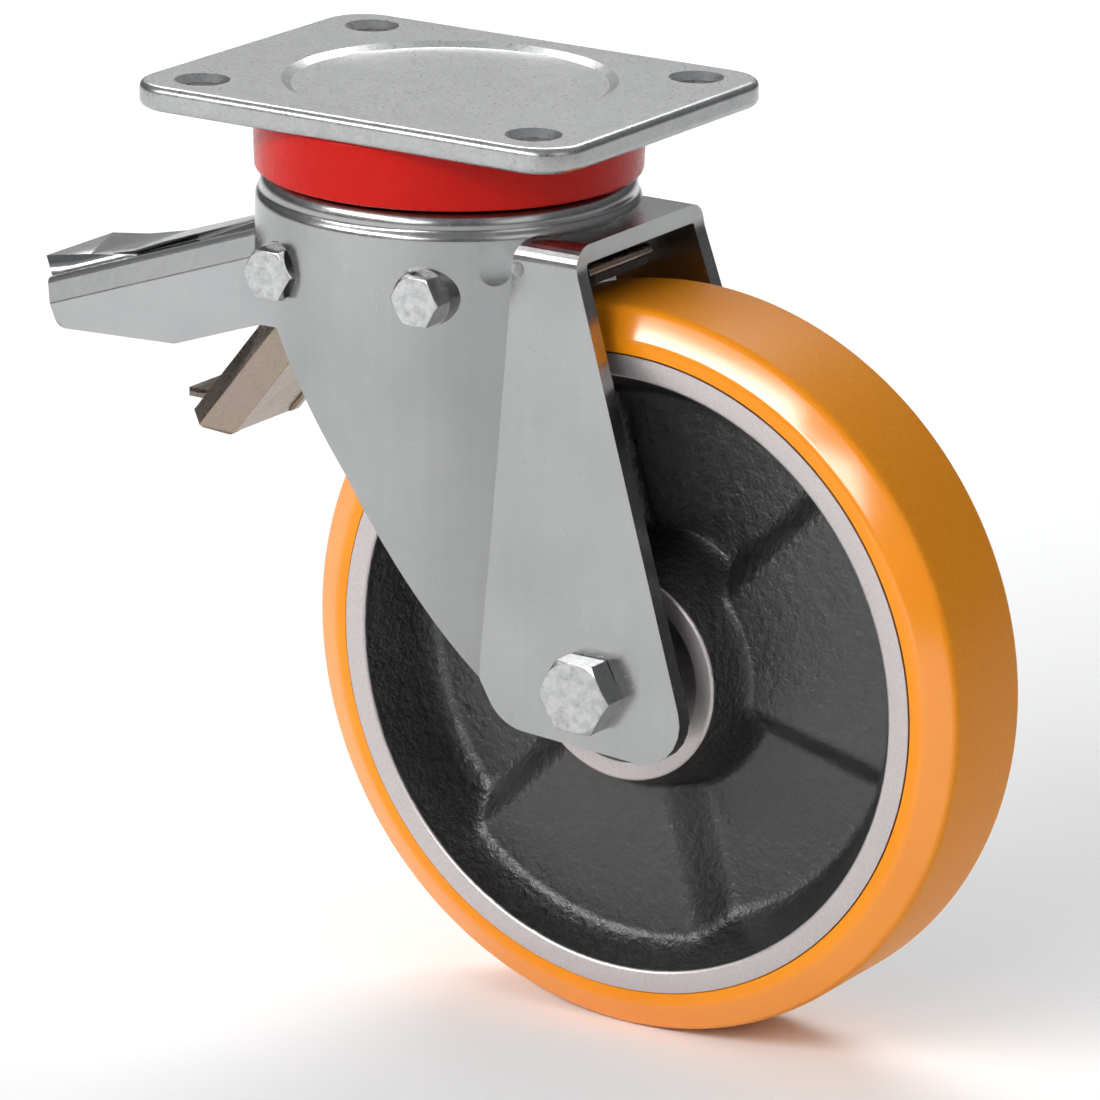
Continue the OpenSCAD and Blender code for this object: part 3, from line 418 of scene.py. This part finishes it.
def pad_rubber():
    """Dull black rubber of the brake pad."""
    s = Shade("pad_rubber")
    grit = s.noise(1.4, 5.0, 0.65)
    s.colour(s.ramp(grit, (0.3, (0.02, 0.02, 0.02)), (0.7, (0.06, 0.058, 0.055))))
    s.roughness(s.ramp(grit, (0.3, 0.75), (0.7, 0.9)))
    s.relief(grit, 0.15, 0.4)
    return s.material


# Shading of the solids

def paint(mesh, material):
    mesh.materials.clear()
    mesh.materials.append(material)


def new_piece(name, mesh, body, material, node):
    """A finished piece that rides on a body and stands for a CAD node."""
    paint(mesh, material)
    piece = bpy.data.objects.new(name, mesh)
    bpy.context.scene.collection.objects.link(piece)
    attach(piece, body)
    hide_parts(node)
    return piece


def plate_normal(place, flat):
    """True normal of the recess's sloping wall at a corner of a face, or None."""
    x, y = place.xy
    radius = math.hypot(x, y)
    lowest, highest = SLOPE_RISE
    if not lowest < flat.z < highest or abs(radius / MM - RECESS_R) > RECESS_REACH:
        return None
    slope = math.copysign(math.sqrt(1.0 - flat.z ** 2), flat.x * x + flat.y * y)
    return Vector((x / radius * slope, y / radius * slope, flat.z))


def dent_normal(place, flat):
    """Softened normal in a dent beside the leg's bend, or None, with Y counted outwards from the middle."""
    on_wall = place.x < WALL_END
    for centre in DENTS:
        ball = (Vector(centre) - place) / DENT_BALL
        if abs(ball.length - 1.0) < DENT_SLACK and flat.dot(ball) > DENT_FACING:
            plain = Vector((place.x, place.y, 0.0)).normalized() if on_wall else Vector((0.0, 1.0, 0.0))
            return (plain * DENT_SOFTNESS + ball).normalized()
    return None


def fork_normal(place, flat):
    """True normal of the fork's round wall, dome and dents at a corner of a face, or None."""
    x, y, z = (c / MM for c in place)
    radius = math.hypot(x, y)
    if radius < AXIS_CLEAR:
        return None
    outward = Vector((x / radius, y / radius, 0.0))
    side = math.copysign(1.0, y)
    dent = dent_normal(Vector((x, abs(y), z)), Vector((flat.x, flat.y * side, flat.z)))
    if dent:
        return Vector((dent.x, dent.y * side, dent.z))
    high = z > HEAD_TOP - DOME_ROUND - ROUND_SLACK
    if high and radius > DOME_R - DOME_ROUND - ROUND_SLACK and flat.z > 0.0:
        lean = Vector((radius - DOME_R + DOME_ROUND, z - HEAD_TOP + DOME_ROUND))
        if lean.length > LEAST_LEAN:
            return (outward * lean.x + Vector((0, 0, lean.y))).normalized()
        return None
    off_wall = min(abs(radius - HEAD_R), abs(radius - HEAD_R + SHEET))
    if abs(flat.z) < UPRIGHT and off_wall < WALL_SLACK:
        along = flat.dot(outward)
        return outward * math.copysign(1.0, along) if abs(along) > WALL_FACING else None
    return None


def set_normals(mesh, rule):
    """Corner normals from a rule about the true surface where it gives one, and flat ones on large flats."""
    normals = [Vector(n.vector) for n in mesh.corner_normals]
    least = math.cos(math.radians(STRAY_TURN))

    def plane(face):
        offset = face.normal.dot(face.center) / MM
        return tuple(round(c, 2) for c in face.normal), round(offset)

    area = {}
    for face in mesh.polygons:
        area[plane(face)] = area.get(plane(face), 0.0) + face.area
    for face in mesh.polygons:
        flat = area[plane(face)] > FLAT_AREA
        for corner in face.loop_indices:
            known = rule(mesh.vertices[mesh.loops[corner].vertex_index].co, face.normal)
            stray = normals[corner].dot(face.normal) < least
            normals[corner] = known or (face.normal.copy() if flat or stray else normals[corner])
    mesh.normals_split_custom_set(normals)


def lay_pads(work):
    """The pads under the axle's bolt head and nut, laid into the leaning legs."""
    for vert in work.verts:
        x, y, z = (c / MM for c in vert.co)
        in_pad = math.hypot(x - WHEEL_X, z - WHEEL_Z) < AXLE_PAD_R
        if in_pad and abs(abs(y) - AXLE_PAD_Y) < PAD_SLACK:
            leg = LEG_Y + (LEG_TOP - z) * math.tan(math.radians(LEG_LEAN))
            vert.co.y = math.copysign(leg, y) * MM


def shade_smooth(mesh, angle):
    """Smooth shading, with edges sharper than an angle left sharp."""
    mesh.polygons.foreach_set("use_smooth", [True] * len(mesh.polygons))
    mesh.set_sharp_from_angle(angle=math.radians(angle))


def smoothed(node, name, body, material, angle=BEND_ANGLE, rule=None, change=None):
    """The node's solid as one welded mesh whose bends shade smoothly, with flats kept flat."""
    work = bmesh.new()
    work.from_mesh(nodes[node].data)
    if change:
        change(work)
    bmesh.ops.remove_doubles(work, verts=work.verts, dist=WELD * MM)
    bmesh.ops.dissolve_degenerate(work, edges=work.edges, dist=SLIVER * MM)
    bmesh.ops.recalc_face_normals(work, faces=work.faces)
    mesh = bpy.data.meshes.new(name)
    work.to_mesh(mesh)
    work.free()
    shade_smooth(mesh, angle)
    piece = new_piece(name, mesh, body, material, node)
    if rule:
        set_normals(mesh, rule)
    else:
        flat = piece.modifiers.new("flat_faces", "WEIGHTED_NORMAL")
        flat.keep_sharp = True
        flat.weight = FLAT_WEIGHT


# Wheel

def ring_mesh(name, rows, steps):
    """Closed ring about the axle: rows are functions of the turn that give radius and Y in millimetres."""
    points, faces = [], []
    count = len(rows)
    for i in range(steps):
        turn = 2 * math.pi * i / steps
        for row in rows:
            r, y = row(turn)
            points.append(Vector((WHEEL_X + r * math.cos(turn), y, WHEEL_Z + r * math.sin(turn))) * MM)
    for i in range(steps):
        a, b = i * count, (i + 1) % steps * count
        for k in range(count):
            n = (k + 1) % count
            faces.append((a + k, a + n, b + n, b + k))
    mesh = bpy.data.meshes.new(name)
    mesh.from_pydata(points, [], faces)
    work = bmesh.new()
    work.from_mesh(mesh)
    bmesh.ops.recalc_face_normals(work, faces=work.faces)
    work.to_mesh(mesh)
    work.free()
    shade_smooth(mesh, RING_ANGLE)
    return mesh


def rounded_path(corners):
    """Section path from (radius, Y, rounding) corners."""
    path = []
    for i, (x, y, r) in enumerate(corners):
        here = Vector((x, y))
        if not r:
            path.append((x, y))
            continue
        u = (Vector(corners[i - 1][:2]) - here).normalized()
        w = (Vector(corners[(i + 1) % len(corners)][:2]) - here).normalized()
        half = u.angle(w) / 2
        centre = here + (u + w).normalized() * r / math.sin(half)
        first = here + u * r / math.tan(half) - centre
        last = here + w * r / math.tan(half) - centre
        start = math.atan2(first.y, first.x)
        sweep = (math.atan2(last.y, last.x) - start + math.pi) % (2 * math.pi) - math.pi
        for k in range(ARC_STEPS + 1):
            turn = start + sweep * k / ARC_STEPS
            path.append((centre.x + r * math.cos(turn), centre.y + r * math.sin(turn)))
    return path


def fixed(r, y):
    """Row at one radius and Y all the way round."""
    return lambda turn: (r, y)


def smooth_step(x):
    x = min(1.0, max(0.0, x))
    return x * x * (3 - 2 * x)


def smooth_max(a, b, soft):
    """The larger of two heights, with the corner between them filled over a width."""
    h = max(soft - abs(a - b), 0.0) / soft
    return max(a, b) + h * h * soft / 4


def web_level(r, turn, near):
    """Height of the web's surface at a place, raised and sunk in turn round the hub."""
    sector = 360.0 / WEB_SECTORS
    place = (math.degrees(turn) - WEB_TURN) % 360.0
    index = int(place // sector) % WEB_SECTORS
    sunk = (index % 2 == 0) == near
    before = r * math.sin(math.radians(place % sector))
    after = r * math.sin(math.radians(sector - place % sector))
    nearest = min(before, after)
    down = smooth_step((WEB_LIP + (nearest if sunk else -nearest)) / (WEB_FOOT + WEB_LIP))
    return WEB_RAISED + (WEB_SUNK - WEB_RAISED) * down


def casting_row(r, near):
    """Row of the casting at one radius between hub and rim."""
    side = -1.0 if near else 1.0
    rim_wall = WHEEL_HALF - WALL_DROP - (RIM_INNER - r) * RIM_WALL_RISE
    hub_wall = WHEEL_HALF - WALL_DROP - (r - HUB_R) * HUB_WALL_RISE

    def row(turn):
        level = web_level(r, turn, near)
        level = smooth_max(level, rim_wall, RIM_FILLET)
        level = smooth_max(level, hub_wall, HUB_FILLET)
        return r, side * min(level, WHEEL_HALF - CAST_DROP)
    return row


def web_radii():
    """Radii of the web's rows from hub to rim."""
    radii = [HUB_R + ROW_GAP + FINE_STEP * i for i in range(FINE_ROWS)]
    radii += [radii[-1] + COARSE_STEP * (i + 1) for i in range(COARSE_ROWS)]
    left = RIM_INNER - ROW_GAP - radii[-1]
    fine = int(left / FINE_STEP)
    return radii + [radii[-1] + left * (i + 1) / fine for i in range(fine)]


def wheel_core(material):
    """Casting: bearing seats, turned hub and rim faces, and the web between them on either side."""
    def edge(radius, steps):
        return [(radius + step, WHEEL_HALF - drop) for step, drop in steps]

    def side(sign, near):
        seat = [(HUB_BORE, BEARING_SEAT), (BEARING_R, BEARING_SEAT)] + edge(BEARING_R, SEAT_EDGE)
        hub = edge(HUB_R, HUB_EDGE)
        rim = edge(RIM_INNER, RIM_EDGE) + edge(RIM_R, TYRE_EDGE)
        rows = [fixed(r, sign * y) for r, y in seat + hub]
        rows += [casting_row(r, near) for r in web_radii()]
        return rows + [fixed(r, sign * y) for r, y in rim]

    rows = side(-1.0, True) + side(1.0, False)[::-1]
    mesh = ring_mesh("wheel_casting", rows, CASTING_STEPS)
    new_piece("wheel_casting", mesh, "wheel", material, "wheel_core")


def tyre(material):
    """Tread with slanted, rounded shoulders and a fine groove where it meets the rim."""
    side = WHEEL_HALF - TYRE_DROP
    half = [
        (RIM_R, side - GROOVE_DEEP, 0), (RIM_R + GROOVE_WIDE, side, 0),
        (WHEEL_R - SHOULDER, side - SIDE_LEAN, SIDE_ROUND), (WHEEL_R, TREAD_HALF, TREAD_ROUND),
    ]
    corners = [(r, -y, rounding) for r, y, rounding in half] + half[::-1]
    mesh = ring_mesh("tread_ring", [fixed(r, y) for r, y in rounded_path(corners)], TYRE_STEPS)
    new_piece("tread_ring", mesh, "wheel", material, "tyre")


# The part

def dress():
    """Finished pieces for the forms that show most, and materials on all other solids."""
    plate = zinc_plate()
    fork = zinc_sheet("zinc_fork", (0.325, 0.328, 0.33), (0.41, 0.413, 0.415), 0.24)
    pedal = zinc_sheet("zinc_pedal", (0.36, 0.363, 0.366), (0.45, 0.453, 0.456), 0.22)
    steel = bare_steel("plain_steel", (0.10, 0.10, 0.105), (0.24, 0.24, 0.245))
    shield = bare_steel("shield_steel", (0.16, 0.155, 0.155), (0.30, 0.29, 0.29))
    ring = bare_steel("ring_steel", (0.34, 0.325, 0.32), (0.46, 0.44, 0.43))
    smoothed("top_plate", "mounting_plate", "plate", plate, PLATE_ANGLE, plate_normal)
    smoothed("dust_seal", "seal_ring", "plate", red_plastic())
    smoothed("fork", "pressed_fork", "fork", fork, BEND_ANGLE, fork_normal, lay_pads)
    smoothed("brake_pedal", "lock_pedal", "pedal", pedal)
    smoothed("release_lever", "release_lever_sheet", "lever", chromate())
    wheel_core(cast_iron())
    tyre(polyurethane())
    dressed = {
        bright_zinc(): ("axle_bolt", "axle_nut", "pivot_bolts", "pivot_nuts", "king_nut"),
        shield: ("axle_spacers", "bearing_shields"),
        ring: ("bearing_outer_rings", "bearing_inner_rings"),
        pad_rubber(): ("brake_pad",),
    }
    chosen = {name: material for material, names in dressed.items() for name in names}
    for name, node in nodes.items():
        paint(node.data, chosen.get(name, steel))


# Floor and light

def floor():
    """Plain pale floor under the wheel."""
    mesh = bpy.data.meshes.new("floor")
    ends = (-FLOOR_REACH, FLOOR_REACH)
    mesh.from_pydata([(x, y, FLOOR_Z) for y in ends for x in ends], [], [(0, 1, 3, 2)])
    plane = bpy.data.objects.new("floor", mesh)
    bpy.context.scene.collection.objects.link(plane)
    s = Shade("pale_floor", Roughness=0.75)
    s.colour(s.ramp(s.noise(900.0, 2.0), (0.3, (0.90, 0.90, 0.90)), (0.7, (0.93, 0.93, 0.93))))
    mesh.materials.append(s.material)


def soft_box(name, place, width, height, power, target=MIDDLE):
    """Rectangular light panel, sizes in metres and power in watts."""
    data = bpy.data.lights.new(name, "AREA")
    data.shape = "RECTANGLE"
    data.size, data.size_y = width, height
    data.energy = power
    light = bpy.data.objects.new(name, data)
    light.location = place
    light.rotation_mode = "QUATERNION"
    light.rotation_quaternion = (Vector(target) - Vector(place)).to_track_quat("-Z", "Y")
    bpy.context.scene.collection.objects.link(light)


def on_dome(azimuth, elevation, distance):
    """Place of a light seen from the part, angles in degrees from +X and from level."""
    turn, rise = math.radians(azimuth), math.radians(elevation)
    level = distance * math.cos(rise)
    return level * math.cos(turn), level * math.sin(turn), distance * math.sin(rise) + MIDDLE[2]


def light_up():
    """Sky that brightens upwards, and soft panels that the metal and the tyre's shoulder reflect."""
    world = bpy.data.worlds.new("studio")
    world.use_nodes = True
    tree = world.node_tree
    sky = tree.nodes["Background"]
    sky.inputs["Strength"].default_value = 1.0
    coordinates = tree.nodes.new("ShaderNodeTexCoord")
    parts = tree.nodes.new("ShaderNodeSeparateXYZ")
    rise = tree.nodes.new("ShaderNodeValToRGB")
    low_stop, high_stop = rise.color_ramp.elements
    low_stop.position, low_stop.color = 0.0, SKY_LOW
    high_stop.position, high_stop.color = SKY_TOP, SKY_HIGH
    tree.links.new(coordinates.outputs["Generated"], parts.inputs[0])
    tree.links.new(parts.outputs["Z"], rise.inputs["Fac"])
    tree.links.new(rise.outputs["Color"], sky.inputs["Color"])
    bpy.context.scene.world = world
    soft_box("key", on_dome(-111, 32, 3.3), width=2.6, height=0.7, power=82.0)
    soft_box("sheen", on_dome(-80, 22, 3.3), width=0.9, height=0.6, power=16.0)
    soft_box("low", on_dome(-138, 14, 3.0), width=0.8, height=0.4, power=1.3)
    soft_box("top", on_dome(122, 45, 2.6), width=2.1, height=0.6, power=38.0, target=BESIDE_PLATE)
    soft_box("back", on_dome(118, 16, 2.6), width=2.4, height=0.9, power=2.2)
    soft_box("fill", on_dome(-15, 25, 2.2), width=1.0, height=1.2, power=4.0)
    view = bpy.context.scene.view_settings
    view.view_transform = "Standard"
    view.look = "None"


place_camera()
dress()
floor()
light_up()
